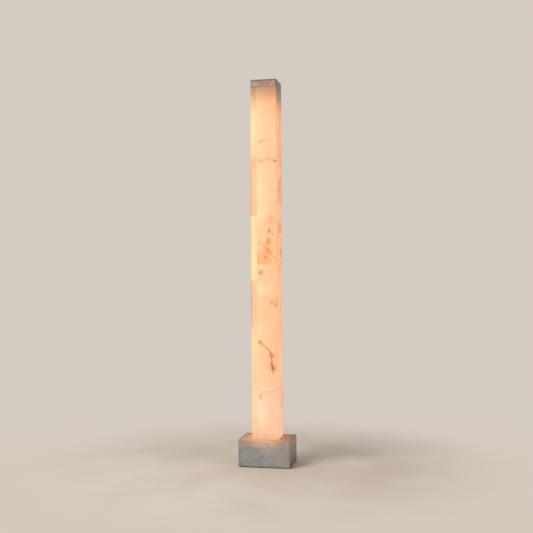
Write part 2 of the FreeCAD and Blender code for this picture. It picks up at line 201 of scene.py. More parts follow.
lamps = {
    "key": {"place": (-2.3, -2.7, 2.9), "aim": (0, 0, 0.8), "size": 3.0, "power": 146,
            "colour": (1.0, 0.985, 0.965)},
    "fill": {"place": (3.1, -0.9, 1.3), "aim": (0, 0, 0.8), "size": 2.0, "power": 17,
             "colour": (1.0, 0.80, 0.62)},
}


def makeWorld():
    world = bpy.data.worlds.new("studio")
    bpy.context.scene.world = world
    look = Finish("studio", world)
    toCamera = look.add("ShaderNodeLightPath", out="Is Camera Ray")
    toGloss = look.add("ShaderNodeLightPath", out="Is Glossy Ray")
    seen = look.highest(toCamera, toGloss)
    steepness = look.axes(look.add("ShaderNodeTexCoord"))[2]
    backdrop = look.blend(look.fit(steepness, *studio["meeting"]), studio["wall"], studio["far"])
    ambient = look.add("ShaderNodeBackground", {}, {"Color": studio["ambient"]})
    shown = look.add("ShaderNodeBackground", {}, {"Color": backdrop})
    look.output(look.add("ShaderNodeMixShader", {}, {0: seen, 1: ambient, 2: shown}), "ShaderNodeOutputWorld")


def makeLamp(name, lamp):
    data = bpy.data.lights.new(name, "AREA")
    data.shape = "DISK"
    data.size = lamp["size"]
    data.energy = lamp["power"]
    data.color = lamp["colour"]
    light = bpy.data.objects.new(name, data)
    bpy.context.scene.collection.objects.link(light)
    way = Vector(lamp["aim"]) - Vector(lamp["place"])
    light.matrix_world = Matrix.Translation(lamp["place"]) @ way.to_track_quat("-Z", "Y").to_matrix().to_4x4()
    light.visible_camera = False


def makeFloor():
    shape = bmesh.new()
    bmesh.ops.create_circle(shape, cap_ends=True, segments=96, radius=studio["floorRadius"])
    floor = pieceFrom(shape, "floor")
    look = Finish("floor")
    where = look.place()
    reach = look.vector("LENGTH", {0: where}, 1)
    patches = look.fit(look.noise(where, *studio["patchNoise"]), *studio["patchEdge"])
    colour = look.blend(patches, studio["floorColour"], studio["floorPatches"])
    surface = look.add("ShaderNodeBsdfDiffuse", {}, {"Color": colour})
    clear = look.add("ShaderNodeBsdfTransparent")
    fade = look.fit(reach, *studio["floorFade"])
    look.output(look.add("ShaderNodeMixShader", {}, {0: fade, 1: surface, 2: clear}))
    floor.data.materials.append(look.material)


def pieceFrom(shape, name):
    mesh = bpy.data.meshes.new(name)
    shape.to_mesh(mesh)
    shape.free()
    piece = bpy.data.objects.new(name, mesh)
    bpy.context.scene.collection.objects.link(piece)
    return piece


bpy.context.scene.view_settings.view_transform = "Standard"
makeCamera()
makeWorld()
for lampName, lampFacts in lamps.items():
    makeLamp(lampName, lampFacts)
makeFloor()
print("camera, floor and light made")


# Alabaster

alabaster = {
    "stops": [(0.0, tone(255, 229, 178)), (0.30, tone(253, 211, 165)), (0.60, tone(251, 194, 146)),
              (0.85, tone(249, 177, 120)), (1.0, tone(240, 157, 90))],      # lit colour by warmth
    "stone": (0.36, 0.32, 0.285, 1.0),       # unlit stone
    "stoneTint": 0.60,                       # how much of the lit colour it takes on
    "stoneShare": 0.50,                      # how bright it is
    "topUnlit": 0.55,                        # what is left of that where no light comes from inside
    "glowShare": (0.625, 0.585, 0.505, 1.0), # how much of the lit colour comes from inside
    "rightShare": (0.685, 0.590, 0.490, 1.0),                # and where less lamplight falls
    "roughness": 0.34,
    "end": (0.0600, 0.0618),                 # across a slab, where its end face begins
    "rightEdge": (-0.045, 0.062),            # across a slab, over which it gets warmer
    "cloudWarmth": 0.55,
    "mottleWarmth": 0.28,
    "grainLevel": 0.05,                      # how much grain and swirls vary the light
    "swirlLevel": 0.32,
    "rightFade": (-0.010, 0.135, 0.06),      # from and to, under the cap, and what is left at the top
    "rightStreaks": (0.13, 0.03, 0.45),      # from and to, under the cap, and how much they darken it
    "smudges": (0.070, 0.0, 0.25),
    "topWarmth": (0.20, -0.02, 0.32),        # from and to, under the cap, and how much warmer it gets
    "endFoot": (0.13, 0.21),                 # heights over which an end face's own warmth sets in
    "bottomFade": (-0.012, 0.045, 0.76),     # from and to, above the foot, and what is left there
    "bottomWarmth": 0.2,
    "footBlue": (0.60, 0.22, 1.17),          # from and to in height, and how much bluer the stone is there
}

veins = {
    "orange": tone(212, 130, 64),
    "orangeFrom": (0.0, 0.55),               # darkness over which the stone turns orange, and then brown
    "brown": tone(84, 42, 22),
    "brownFrom": (0.46, 1.0),
    "edge": 1.4,                             # in half widths
    "faintEdge": 2.1,                        # softer, on a vein that is never darker than faint
    "faint": 0.45,
    "haloEdge": 4.2,
    "haloWarmth": 0.75,
    "swing": 1.25,                           # room for the width's curve above its points
    "unlit": (0.15, 0.9, 0.7),               # darkness from and to, and how much it takes off the unlit stone
}
cracks = {                                   # faint ones, on the cloudier slabs
    "scale": 6.0,
    "gate": (0.55, 0.68),
    "line": (0.022, 0.22),                   # half width, as a share of a cell, and darkness
    "halo": (0.09, 0.36),                    # the same, and warmth
}

# Noises as scale in height, scale, detail, roughness and twist. The slab patterns are shifted by the
# length of the slab's name, so that neighbours differ.
slabShift = 0.37
slabPatterns = {
    "clouds": (0.45, 13.0, 4.0, 0.55, 0.4),
    "bands": (0.07, 44.0, 3.0, 0.5),
    "swirl": (0.6, 10.0, 5.0, 0.62, 1.4),
    "gate": (1.0, 7.0, 3.0, 0.6),
}
sharedPatterns = {
    "mottle": (1.0, 75.0, 4.0, 0.6),
    "grain": (1.0, 420.0, 2.0, 0.5),
    "breaks": (1.0, 34.0, 3.0, 0.6),
    "smudges": (1.0, 62.0, 4.0, 0.6),
    "swell": (1.0, 26.0, 3.0),
}
veinDrift = (42.0, 6.0, 0.68)                # noises that move veins and spots about
spotDrift = (17.0, 5.0, 0.6)

# Per side: its turn from the front, how far veins and spots stray, how broken up the veins are, how strong
# the upright bands are, whether the outer face and the end get less lamplight, whether they fade under the
# cap as the right face does, the fade there, and how far across a stain starts and over what height it fades.
otherSide = {"veinStray": 0.026, "spotStray": 0.055, "broken": 0.55, "banding": 0.14,
             "topFade": (-0.030, 0.096, 0.25)}
sides = {
    "front": {"turn": 0.0, "veinStray": 0.012, "spotStray": 0.004, "broken": 0.0, "banding": 0.36,
              "shaded": (0.0, 1.0), "right": (0.0, 1.0), "topFade": (-0.030, 0.096, 0.25)},
    "right": {**otherSide, "turn": 90.0, "shaded": (1.0, 1.0), "right": (1.0, 1.0), "stain": (0.044, 0.030)},
    "back": {**otherSide, "turn": 180.0, "shaded": (1.0, 0.0), "right": (0.0, 0.0)},
    "left": {**otherSide, "turn": 270.0, "shaded": (0.0, 0.0), "right": (0.0, 0.0), "stain": (0.0575, 0.006),
             "topFade": (-0.030, 0.122, 0.22)},
}
stain = {
    "across": 0.0625,                        # full strength at the corner
    "depth": (-0.0575, -0.0622),             # from and to: it is strongest at the outer face
    "ends": (0.010, 0.012),                  # how far it fades out below and above
    "mottled": (0.35, 1.2),                  # least strength, and how much the mottling adds
}

# Per slab, in mm across and up the face: warmth up its height as (height, warmth), how much warmer its
# right edge is, how much warmer still its end face is, how cloudy its outer face is, veins as the way they
# run and points of (across, height, half width, darkness), spots as (across, height, radius, warmth,
# darkness), and stains on the outer corner as (low, high, darkness).
slabLooks = {
    "front_slab_upper": {
        "warmth": [(957, 0.54), (1060, 0.46), (1180, 0.38), (1300, 0.37), (1440, 0.46), (1540, 0.41),
                   (1700, 0.46)],
        "side": 0.22,
        "end": 0.20,
        "veins": [
            ("across", [(-29, 1537, 3.4, 0.14), (-14, 1538, 4.4, 0.19), (4, 1545, 4.2, 0.14),
                        (22, 1547, 2.8, 0.08), (44, 1546, 2.0, 0.04)]),
            ("across", [(-27, 1443, 3.6, 0.16), (-8, 1446, 4.6, 0.22), (4, 1450, 3.8, 0.13),
                        (14, 1453, 4.6, 0.20), (32, 1450, 3.0, 0.14), (48, 1446, 2.4, 0.42),
                        (60, 1440, 2.0, 0.22)]),
            ("across", [(-30, 1068, 2.6, 0.12), (-14, 1052, 4.0, 0.24), (-4, 1044, 3.0, 0.12),
                        (6, 1037, 3.6, 0.30), (13, 1032, 2.6, 0.15), (20, 1026, 3.4, 0.32),
                        (26, 1017, 2.8, 0.22), (31, 1008, 3.8, 0.50), (38, 1000, 2.6, 0.14),
                        (44, 995, 3.0, 0.26), (58, 989, 2.4, 0.14)]),
            ("height", [(8, 1000, 1.4, 0.06), (12, 1015, 2.0, 0.12), (18, 1036, 2.0, 0.12)]),
            ("height", [(17, 1046, 2.0, 0.08), (20, 1068, 4.6, 0.08), (21, 1092, 3.0, 0.08),
                        (25, 1115, 4.2, 0.20), (27, 1126, 2.6, 0.12)]),
        ],
        "spots": [(56, 1442, 8, 0.5, 0.50), (24, 1117, 13, 0.5, 0.08), (42, 1099, 12, 0.4, 0.06),
                  (19, 1066, 27, 0.44, 0.0), (-20, 982, 60, 0.20, 0.0), (-2, 978, 62, 0.16, 0.0),
                  (16, 1030, 44, 0.28, 0.0), (30, 1165, 44, 0.26, 0.0), (-20, 1190, 60, -0.22, 0.0),
                  (-16, 1400, 40, -0.12, 0.0), (6.5, 989, 10, 0.30, 0.36), (-32, 1310, 60, -0.15, 0.0),
                  (-14, 1262, 50, -0.10, 0.0), (64, 1300, 26, 0.20, 0.0), (64, 1250, 26, 0.20, 0.0)],
    },
    "front_slab_middle": {
        "warmth": [(811, 0.26), (850, 0.30), (910, 0.42), (957, 0.38)],
        "side": 0.26,
        "end": 0.10,
        "veins": [
            ("across", [(-29, 912, 2.4, 0.10), (-18, 919, 4.8, 0.17), (-6, 923, 3.0, 0.10)]),
        ],
        "spots": [(-17, 918, 20, 0.45, 0.02), (-22, 838, 36, -0.20, 0.0), (-14, 947, 13, -0.30, 0.0)],
    },
    "front_slab_lower": {
        "warmth": [(130, 0.42), (260, 0.30), (400, 0.30), (560, 0.38), (700, 0.42), (811, 0.46)],
        "side": 0.26,
        "veins": [
            ("height", [(43, 436, 1.4, 0.45), (40, 452, 2.0, 0.70), (37, 473, 2.6, 1.0),
                        (35, 488, 2.2, 0.80), (34, 505, 1.8, 0.50), (31, 520, 2.0, 0.62),
                        (29, 532, 2.2, 0.60), (22, 551, 1.8, 0.25)]),
            ("across", [(-28, 593, 3.6, 0.26), (-20, 587, 5.0, 0.34), (-8, 577, 3.6, 0.24),
                        (8, 564, 3.6, 0.28), (21, 552, 3.2, 0.38), (29, 538, 2.4, 0.30)]),
            ("across", [(35, 474, 1.6, 0.44), (46, 468, 1.6, 0.34), (58, 456, 1.4, 0.16)]),
            ("across", [(30, 531, 2.2, 0.42), (40, 525, 2.2, 0.28), (50, 520, 1.6, 0.12)]),
            ("across", [(-30, 352, 2.0, 0.03), (-5, 353, 2.4, 0.10), (20, 355, 2.4, 0.13),
                        (44, 359, 2.4, 0.15), (61, 366, 2.0, 0.16)]),
            ("across", [(26, 781, 3.0, 0.26), (36, 776, 2.6, 0.22), (48, 768, 2.6, 0.18),
                        (60, 757, 3.0, 0.26)]),
        ],
        "spots": [(-25, 590, 14, 0.5, 0.06), (33, 528, 22, 0.35, 0.04), (38, 472, 26, 0.30, 0.03),
                  (30, 468, 46, 0.18, 0.0), (-18, 338, 13, 0.45, 0.14), (-25, 325, 12, 0.45, 0.12),
                  (44, 772, 34, 0.20, 0.0), (-14, 240, 70, -0.10, 0.0), (-18, 640, 44, -0.12, 0.0),
                  (-20, 296, 34, -0.16, 0.0), (-18, 250, 40, -0.14, 0.0), (-19, 206, 34, -0.14, 0.0),
                  (24, 512, 56, 0.15, 0.0), (6, 368, 40, -0.15, 0.0)],
    },
    "left_slab_upper": {
        "warmth": [(1186, 0.62), (1290, 0.56), (1370, 0.55), (1408, 0.57), (1434, 0.66), (1462, 0.46),
                   (1496, 0.29), (1540, 0.16), (1590, 0.12), (1640, 0.16), (1700, 0.38)],
        "side": 0.0,
        "cloud": 2.0,
        "veins": [
            ("across", [(-60, 1668, 2.0, 0.10), (-30, 1640, 3.4, 0.30), (-6, 1628, 3.0, 0.22),
                        (20, 1590, 2.0, 0.12)]),
            ("height", [(-40, 1236, 2.0, 0.10), (-30, 1290, 3.2, 0.34), (-12, 1330, 3.4, 0.48),
                        (-6, 1372, 2.6, 0.26), (14, 1440, 2.0, 0.10)]),
        ],
        "spots": [(60, 1440, 44, 0.12, 0.0), (-10, 1345, 30, 0.35, 0.0)],
        "stains": [(1192, 1420, 0.55)],
    },
    "left_slab_middle": {
        "warmth": [(882, 0.10), (1000, 0.06), (1100, 0.12), (1186, 0.06)],
        "side": 0.0,
        "cloud": 2.4,
        "veins": [
            ("across", [(-61, 1010, 2.4, 0.14), (-34, 1042, 3.0, 0.20), (-6, 1050, 2.6, 0.14),
                        (26, 1080, 2.0, 0.08)]),
        ],
        "spots": [(-34, 960, 60, 0.30, 0.0), (-12, 1120, 50, 0.26, 0.0)],
    },
    "left_slab_lower": {
        "warmth": [(130, 0.48), (200, 0.30), (340, 0.20), (420, 0.30), (530, 0.18), (610, 0.20), (668, 0.40),
                   (760, 0.54), (820, 0.50), (860, 0.34), (882, 0.40)],
        "side": 0.0,
        "cloud": 2.0,
        "veins": [
            ("height", [(-38, 470, 2.0, 0.12), (-26, 520, 3.4, 0.36), (-30, 566, 3.2, 0.42),
                        (-8, 618, 2.6, 0.24), (12, 668, 2.0, 0.10)]),
            ("across", [(-61, 232, 2.0, 0.16), (-20, 246, 2.8, 0.20), (22, 238, 2.4, 0.12)]),
        ],
        "spots": [(60, 846, 34, 0.08, 0.0), (-24, 545, 34, 0.30, 0.0)],
        "stains": [(664, 876, 0.55)],
    },
    "right_slab_upper": {
        "warmth": [(1227, 0.62), (1320, 0.78), (1400, 0.74), (1500, 0.84), (1700, 0.78)],
        "side": 0.14,
        "cloud": 1.5,
        "veins": [
            ("height", [(50, 1238, 2.0, 0.15), (34, 1262, 4.0, 0.34), (16, 1300, 4.4, 0.30),
                        (24, 1340, 4.6, 0.40), (44, 1376, 3.4, 0.30), (54, 1420, 2.0, 0.12)]),
            ("across", [(-42, 1336, 2.0, 0.08), (-16, 1322, 2.6, 0.22), (4, 1312, 2.6, 0.26),
                        (17, 1299, 2.0, 0.20)]),
            ("height", [(-46, 1500, 1.8, 0.08), (-28, 1560, 2.6, 0.20), (-4, 1610, 2.8, 0.24),
                        (26, 1650, 2.4, 0.18), (50, 1706, 1.8, 0.10)]),
        ],
        "spots": [(-5, 1335, 48, 0.30, 0.0), (0, 1275, 44, 0.30, 0.0), (20, 1440, 50, 0.20, 0.0)],
        "stains": [(1238, 1400, 0.55), (1690, 1790, 0.50)],
    },
    "right_slab_lower": {
        "warmth": [(130, 0.10), (160, 0.34), (220, 0.58), (400, 0.58), (640, 0.60), (900, 0.66),
                   (1120, 0.66), (1227, 0.58)],
        "side": 0.16,
        "cloud": 1.5,
        "veins": [
            ("height", [(52, 962, 1.6, 0.20), (42, 1006, 3.2, 0.52), (34, 1040, 2.8, 0.36),
                        (18, 1090, 2.6, 0.26), (-4, 1136, 4.4, 0.34), (-26, 1172, 2.2, 0.12)]),
            ("across", [(13, 1104, 2.0, 0.20), (30, 1128, 4.0, 0.34), (50, 1156, 2.0, 0.12)]),
            ("across", [(-34, 906, 2.4, 0.10), (-6, 944, 4.8, 0.32), (20, 956, 3.4, 0.24),
                        (52, 958, 2.0, 0.12)]),
            ("height", [(46, 556, 1.6, 0.10), (20, 620, 2.4, 0.22), (6, 690, 2.6, 0.26),
                        (18, 752, 2.2, 0.18), (48, 806, 1.6, 0.08)]),
            ("across", [(-34, 370, 1.6, 0.28), (0, 384, 1.8, 0.30), (60, 398, 1.6, 0.15)]),
        ],
        "spots": [(10, 1136, 50, 0.20, 0.0), (16, 1020, 44, 0.22, 0.0), (50, 300, 70, 0.26, 0.0),
                  (-20, 660, 80, 0.16, 0.0), (4, 1136, 26, 0.30, 0.20), (40, 1016, 30, 0.24, 0.30),
                  (-8, 937, 24, 0.20, 0.24)],
        "stains": [(130, 330, 0.22), (300, 400, 0.50)],
    },
    "back_slab_upper": {
        "warmth": [(690, 0.34), (900, 0.46), (1150, 0.36), (1400, 0.46), (1700, 0.40)],
        "side": 0.14,
        "cloud": 2.0,
        "veins": [
            ("height", [(-20, 1205, 1.6, 0.25), (-12, 1262, 3.0, 0.60), (4, 1300, 3.2, 0.85),
                        (8, 1345, 2.2, 0.55), (24, 1396, 1.8, 0.25)]),
            ("across", [(2, 1296, 2.0, 0.5), (22, 1284, 2.0, 0.36), (48, 1266, 1.4, 0.15)]),
            ("across", [(-14, 1546, 2.0, 0.10), (12, 1562, 3.8, 0.34), (32, 1570, 3.4, 0.26),
                        (58, 1592, 2.0, 0.10)]),
        ],
        "spots": [(6, 1310, 46, 0.30, 0.0), (-15, 860, 70, 0.26, 0.0), (24, 1560, 44, 0.24, 0.0)],
    },
    "back_slab_lower": {
        "warmth": [(130, 0.44), (330, 0.46), (520, 0.34), (690, 0.48)],
        "side": 0.14,
        "cloud": 2.0,
        "veins": [
            ("across", [(-30, 402, 1.6, 0.25), (-4, 410, 2.8, 0.50), (22, 398, 2.4, 0.40),
                        (52, 404, 1.6, 0.20)]),
            ("height", [(20, 516, 2.0, 0.10), (28, 548, 3.8, 0.40), (35, 574, 3.0, 0.34),
                        (29, 610, 2.0, 0.10)]),
        ],
        "spots": [(26, 560, 46, 0.26, 0.0), (-20, 470, 60, 0.25, 0.0)],
    },
}

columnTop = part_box("front_slab_upper")[1].z
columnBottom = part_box("front_slab_lower")[0].z


def curveAt(look, value, points):            # value runs from 0 to 1 along the curve
    return look.add("ShaderNodeFloatCurve", {"curve": points}, {"Value": value})


def veinMasks(look, across, height, way, points):             # the dark line, and the warm band round it
    steep = way == "height"
    along, sideways = (height, across) if steep else (across, height)
    rows = [(z, x, girth, dark) if steep else (x, z, girth, dark) for x, z, girth, dark in points]
    rows = sorted((a * mm, b * mm, girth * mm, dark) for a, b, girth, dark in rows)
    places, asides, girths, darks = zip(*rows)
    low, high = places[0], places[-1]
    near, far = min(asides) - mm, max(asides) + mm
    widest = max(girths) * veins["swing"]
    steps = [(place - low) / (high - low) for place in places]
    t = look.fit(along, low, high, smooth=False)
    path = curveAt(look, t, [(step, (aside - near) / (far - near)) for step, aside in zip(steps, asides)])
    width = curveAt(look, t, [(step, girth / widest) for step, girth in zip(steps, girths)])
    inside = [(min(max(step, 0.03), 0.97), dark) for step, dark in zip(steps, darks)]
    shade = curveAt(look, t, [(0.0, 0.0)] + inside + [(1.0, 0.0)])            # it runs out at both ends
    away = abs(sideways - (path * (far - near) + near)) / (width * widest)
    edge = veins["faintEdge"] if max(darks) < veins["faint"] else veins["edge"]
    return look.fit(away, edge, 0.1) * shade, look.fit(away, veins["haloEdge"], 0.4) * shade


def spotMask(look, where, across, height, radius):
    flat = look.vector("MULTIPLY", {0: where, 1: (1, 0, 1)})
    distance = look.vector("DISTANCE", {0: flat, 1: (across * mm, 0, height * mm)}, 1)
    return look.fit(distance, radius * mm, radius * mm * 0.15)


def stainMask(look, at, facing, low, high):
    inner, soft = facing["stain"]
    below, above = stain["ends"]
    corner = look.fit(at["across"], inner, stain["across"]) * look.fit(at["depth"], *stain["depth"])
    fromFoot = look.fit(at["movedHeight"], low * mm - below, low * mm + soft)
    return corner * fromFoot * look.fit(at["movedHeight"], high * mm + above, high * mm - soft)


def fadeOver(look, distance, facts):
    start, end, left = facts
    return look.fit(distance, start, end) * (1.0 - left) + left


def perFace(at, values):                     # one value on a slab's outer face, another on its end
    outer, end = values
    return at["atEnd"] * (end - outer) + outer


def slabPlaces(look, facing, turn):          # where a point is on the slab, as it is and moved about
    where = look.place(turn)
    across, depth, height = look.axes(where)
    moved = look.stray(where, veinDrift, facing["veinStray"], where)
    movedAcross, _, movedHeight = look.axes(moved)
    return {
        "across": across, "depth": depth, "height": height, "topGap": columnTop - height,
        "moved": moved, "movedAcross": movedAcross, "movedHeight": movedHeight,
        "loose": look.stray(where, spotDrift, facing["spotStray"], moved),
        "atEnd": look.fit(across, *alabaster["end"]),
    }


def slabWarmth(look, at, found, facing, facts, cloudy):
    low, high = facts["warmth"][0][0], facts["warmth"][-1][0]
    steps = [((height - low) / (high - low), warmth) for height, warmth in facts["warmth"]]
    warmth = curveAt(look, look.fit(at["movedHeight"], low * mm, high * mm, smooth=False), steps)
    toRight = look.fit(at["across"], *alabaster["rightEdge"], smooth=False)
    warmth = warmth + (toRight - 0.4) * facts["side"]
    warmth = warmth + (found["clouds"] - 0.5) * cloudy * alabaster["cloudWarmth"]
    warmth = warmth + (found["bands"] - 0.5) * facing["banding"]
    warmth = warmth + (found["mottle"] - 0.5) * alabaster["mottleWarmth"]
    start, end, warmer = alabaster["topWarmth"]
    warmth = warmth + look.fit(at["topGap"], start, end) * warmer
    return warmth + at["atEnd"] * look.fit(at["height"], *alabaster["endFoot"]) * facts.get("end", 0.0)


def slabMarks(look, at, found, facing, facts, cloudy):        # how dark the marks are, and how much warmer
    sockets = {"Vector": at["moved"], "Scale": cracks["scale"]}
    crack = look.add("ShaderNodeTexVoronoi", {"feature": "DISTANCE_TO_EDGE"}, sockets)
    gate = look.fit(found["gate"], *cracks["gate"]) * (cloudy - 1.0)
    darkness = look.fit(crack, cracks["line"][0], 0.0) * gate * cracks["line"][1]
    warmth = look.fit(crack, cracks["halo"][0], 0.0) * gate * cracks["halo"][1]
    whole = look.fit(found["breaks"], 0.36, 0.56) * facing["broken"] + (1.0 - facing["broken"])
    for way, points in facts["veins"]:
        core, halo = veinMasks(look, at["movedAcross"], at["movedHeight"], way, points)
        darkness = darkness + core * whole
        warmth = warmth + halo * veins["haloWarmth"]
    for across, height, radius, warmer, darker in facts["spots"]:
        mask = spotMask(look, at["loose"], across, height, radius)
        warmth = warmth + mask * warmer
        if darker:
            darkness = darkness + mask ** 2.0 * darker
    least, mottled = stain["mottled"]
    for low, high, strength in facts.get("stains", []):
        mask = stainMask(look, at, facing, low, high)
        darkness = darkness + mask * strength * (found["mottle"] * mottled + least)
    return darkness, warmth


def slabFades(look, at, found, facing):      # what is left of the light near the cap and the foot
    onRight = perFace(at, facing["right"])
    top = fadeOver(look, at["topGap"], facing["topFade"])
    top = top + (fadeOver(look, at["topGap"], alabaster["rightFade"]) - top) * onRight
    start, end, streaked = alabaster["rightStreaks"]
    streaks = look.fit(found["bands"], 0.50, 0.66) * look.fit(at["topGap"], start, end) * onRight
    top = top * (1.0 - streaks * streaked)
    start, end, smudged = alabaster["smudges"]
    smudges = look.fit(found["smudges"], 0.44, 0.62) * look.fit(at["topGap"], start, end)
    top = top * (1.0 - smudges * smudged)
    bottom = fadeOver(look, at["height"] - columnBottom, alabaster["bottomFade"])
    return top, bottom + (1.0 - bottom) * onRight


def slabColour(look, at, warmth, darkness):
    colour = look.add("ShaderNodeValToRGB", {"stops": alabaster["stops"]}, {"Fac": warmth})
    colour = look.blend(look.fit(darkness, *veins["orangeFrom"], False), colour, veins["orange"])
    colour = look.blend(look.fit(darkness, *veins["brownFrom"], False), colour, veins["brown"])
    start, end, blue = alabaster["footBlue"]
    return look.blend(look.fit(at["height"], start, end), colour, (1.0, 1.0, blue, 1.0), "MULTIPLY")


def alabasterFinish(name, facts):
    look = Finish(name)
    facing = sides[name.split("_")[0]]
    turn = -math.radians(facing["turn"])
    at = slabPlaces(look, facing, turn)
    found = look.patterns(slabPatterns, turn, (len(name) * slabShift, 0.0, 0.0))
    found.update(look.patterns(sharedPatterns, turn))
    cloudy = perFace(at, (facts.get("cloud", 1.0), 1.0))
    top, bottom = slabFades(look, at, found, facing)
    darkness, marksWarmth = slabMarks(look, at, found, facing, facts, cloudy)
    warmth = slabWarmth(look, at, found, facing, facts, cloudy) + marksWarmth
    colour = slabColour(look, at, warmth + (1.0 - bottom) * alabaster["bottomWarmth"], darkness)

    share = look.blend(perFace(at, facing["shaded"]), alabaster["glowShare"], alabaster["rightShare"])
    uneven = (found["grain"] - 0.5) * alabaster["grainLevel"]
    uneven = uneven + (found["swirl"] - 0.5) * (cloudy - 0.6) * alabaster["swirlLevel"]
    share = look.vector("SCALE", {0: share, "Scale": top * bottom * (1.0 + uneven)})
    low, high, taken = veins["unlit"]
    unlit = (1.0 - look.fit(darkness, low, high, False) * taken) * alabaster["stoneShare"]
    unlit = unlit * (top * (1.0 - alabaster["topUnlit"]) + alabaster["topUnlit"])
    stone = look.blend(alabaster["stoneTint"], alabaster["stone"], colour)
    relief = found["swell"] + found["mottle"] * 0.35 + found["grain"] * 0.06 - darkness * 0.25
    return look.finish({
        "Base Color": look.vector("SCALE", {0: stone, "Scale": unlit}),
        "Roughness": alabaster["roughness"] + (found["mottle"] - 0.5) * 0.18,
        "Specular IOR Level": 0.45,
        "Emission Color": look.vector("MULTIPLY", {0: colour, 1: share}),
        "Emission Strength": 1.0,
        "Normal": look.bump(relief, 0.0012, 0.5),
    })


def dress(node, material):
    data = nodes[node].data
    data.materials.clear()
    data.materials.append(material)


for slabName, slabFacts in slabLooks.items():
    dress(slabName, alabasterFinish(slabName, slabFacts))
print("alabaster done")


# Grey stone of base and cap

# paintedRightShade: how strong the painted warm shade on the right side is
greyStone = {
    "base_block": {"dark": tone(124, 128, 130), "light": tone(162, 160, 156), "contrast": (0.35, 0.65),
                   "shift": 0.0, "rust": 0.0, "paintedRightShade": 0.40, "ease": 0.0070, "darkening": (0.55, 0.45, 0.85),
                   "isBase": True},
    "top_cap": {"dark": tone(128, 100, 82), "light": tone(178, 145, 121), "contrast": (0.43, 0.57),
                "shift": 3.7, "rust": 0.50, "paintedRightShade": 0.95, "ease": 0.0110, "darkening": (1.0, 0.60, 0.15),
                "isBase": False},
}                                            # darkening: how dark the top, upright and bottom edges are
stoneTints = {
    "rust": tone(168, 128, 98),
    "rose": tone(160, 136, 124),
    "darkening": tone(84, 76, 72),
    "speck": tone(200, 193, 185),
    "slate": tone(130, 134, 138),            # towards the left
    "paintedRightShade": tone(138, 110, 82),             # painted warm shade on the right side
    "glowBand": tone(186, 146, 118),             # painted warm light from the column, as a browner band under the base's top edge
    # painted light from the column, paler and oranger in the band's middle and on the top face
    "glowBandMiddle": tone(236, 180, 135),
    "paintedFrontLight": tone(190, 172, 160),             # painted light from the column on the middle of the base's front
    "topGlowLeft": tone(176, 142, 112),          # painted warm light from the column on the base's top face, from left to right, with painted shade behind the column
    "topGlowRight": tone(162, 98, 34),
    "rim": tone(66, 56, 52),
    "streak": tone(120, 104, 92),
}
greyPatterns = {                             # scale in height, scale, detail, roughness and twist
    "clouds": (1.0, 16.0, 5.0, 0.6, 0.5),
    "patches": (1.0, 48.0, 4.0, 0.6, 0.3),
    "streaks": (0.25, 95.0, 3.0, 0.6),
    "rose": (1.0, 11.0, 3.0),
    "rust": (1.0, 24.0, 4.0, 0.6),
    "rim": (1.0, 36.0, 4.0, 0.65),
    "specks": (1.0, 60.0, 2.0),
    "grain": (1.0, 520.0, 3.0, 0.6),
}
baseLightShadeAndStreaks = {                                  # painted light and shade on the base, and its streaks, with heights and places in metres
    "glowBand": 0.033,                           # height of the band of painted warm light
    "bandSoft": (0.006, 0.007),              # how far its lower line blurs, down and up
    "bandWaves": (0.014, 0.03),              # how far that line wanders, and how much more at the back
    "bandShare": 0.76,
    "middle": (0.085, 0.020),                # from and to, off the middle, where the painted light in the band grows paler
    "paintedFrontLight": {"centre": 0.02, "reach": 0.085, "height": (0.045, 0.095), "share": 0.66},
    "low": {"across": 0.93, "height": (0.085, 0.010), "share": 0.72},         # painted shade: the right side darker towards the floor
    "top": {"across": (-0.10, 0.11), "height": (0.0015, 0.0005), "share": 0.85},
    "stripes": {"noise": (150.0, 3.0, 0.6), "upright": 0.12, "height": (0.05, 0.09), "share": 0.55},
}
footGlow = {                                 # the column's light on the base, strongest at the column's foot
    "colour": (0.60, 0.205, 0.025, 1.0),
    "front": (0.66, 0.37, 0.17, 1.0),        # in front of the column, where it is paler
    "frontFrom": (0.003, -0.004),            # from and to, across the column's front face
    "reach": 0.053,
    "flush": (0.003, 0.0005),                # from and to, under the top face
    "depth": 0.016,                          # how far down the front it shows
}


def greyTones(look, at, found, facts, shade):                 # mottled and bluer to the left, with painted warm shade towards and on the right side
    x, right = at["x"], at["high"].x
    colour = look.blend(shade, facts["dark"], facts["light"])
    rosy = look.fit(found["rose"], 0.42, 0.62) * 0.15 + look.fit(x, -0.06, right) * 0.10
    colour = look.blend(rosy, colour, stoneTints["rose"])
    colour = look.blend(look.fit(x, -0.2 * right, -right) * 0.45, colour, stoneTints["slate"])
    # painted warm shade: darker and browner towards and on the right side
    colour = look.blend(look.fit(x, right * 0.90, right) * facts["paintedRightShade"], colour, stoneTints["paintedRightShade"])
    return look.blend(look.fit(found["rust"], 0.50, 0.66) * facts["rust"], colour, stoneTints["rust"])


